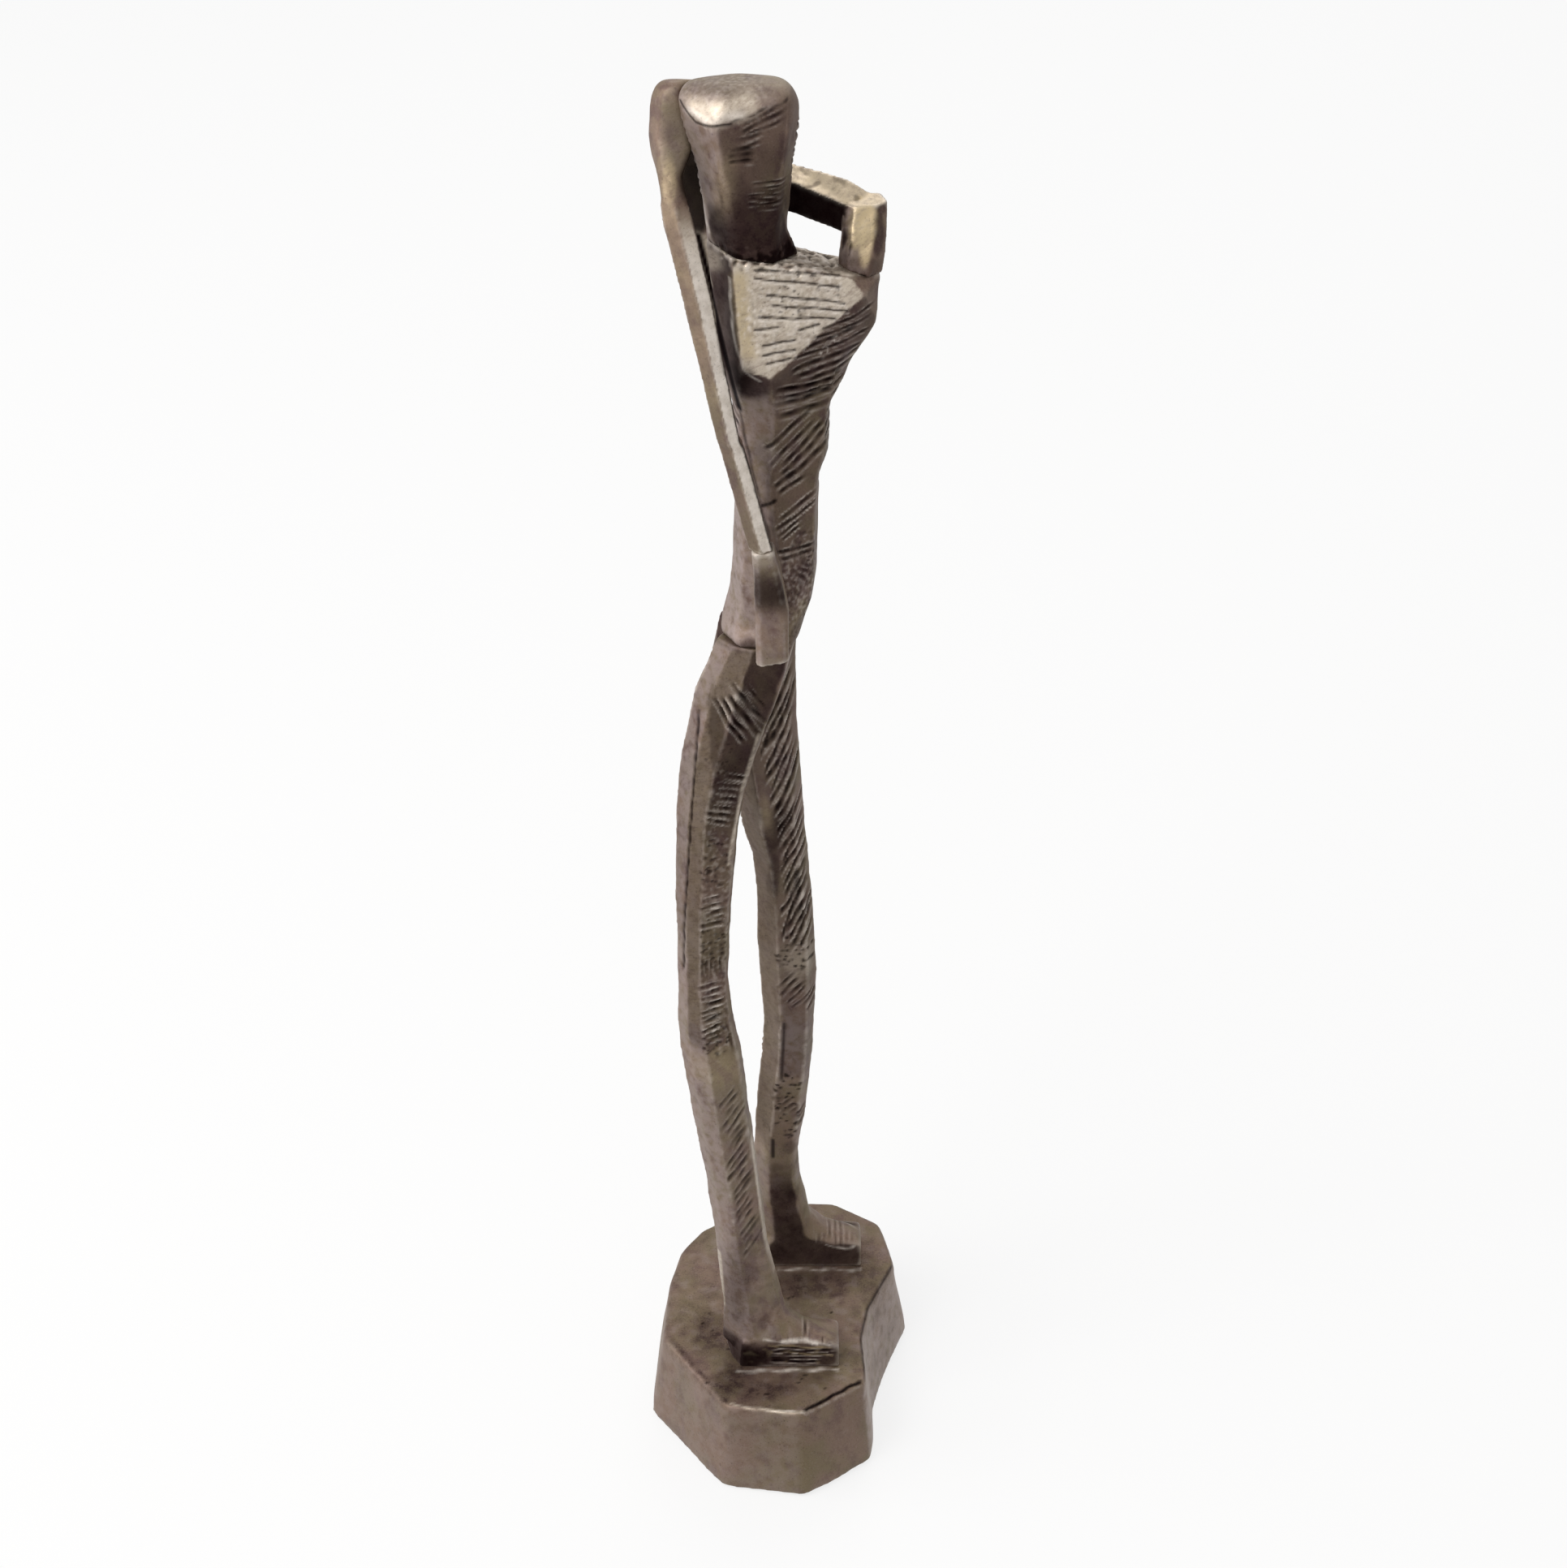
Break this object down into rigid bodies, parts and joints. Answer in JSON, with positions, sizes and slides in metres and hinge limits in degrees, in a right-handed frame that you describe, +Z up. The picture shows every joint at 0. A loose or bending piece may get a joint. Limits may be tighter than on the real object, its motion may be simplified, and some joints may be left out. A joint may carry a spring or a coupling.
{
  "type": "souvenir figurine",
  "caption": "Elongated standing figure in faceted, chisel-marked bronze, one arm down to the hip and the other bent behind the head, on a faceted plinth.",
  "frame": {"origin": "on the underside of the pad, in the plane it rests on, below the middle of the two feet", "axes": "+X the way the feet point, +Y to the figure's left, +Z up"},
  "size_m": [0.0413, 0.0517, 0.2186],
  "materials": {
    "figure_bronze": "aged patina, brushed edges",
    "plinth_bronze": "aged patina, mottled",
    "steel": "plain, zinc plated",
    "pad_rubber": "matt foam rubber"
  },
  "bodies": {
    "root": {"plinth": "plinth_bronze", "base_pad": "pad_rubber", "right_leg": "figure_bronze", "left_leg": "figure_bronze", "torso": "figure_bronze", "head": "figure_bronze", "right_arm": "figure_bronze", "right_hand": "figure_bronze", "left_arm": "figure_bronze", "right_foot_screw": "steel", "left_foot_screw": "steel", "right_foot_washer": "steel", "left_foot_washer": "steel", "right_hip_dowel": "steel", "left_hip_dowel": "steel", "leg_cross_dowel": "steel", "neck_dowel": "steel", "right_shoulder_dowel": "steel", "left_shoulder_dowel": "steel", "left_hand_pin": "steel", "wrist_pin": "steel"}
  },
  "joints": []
}
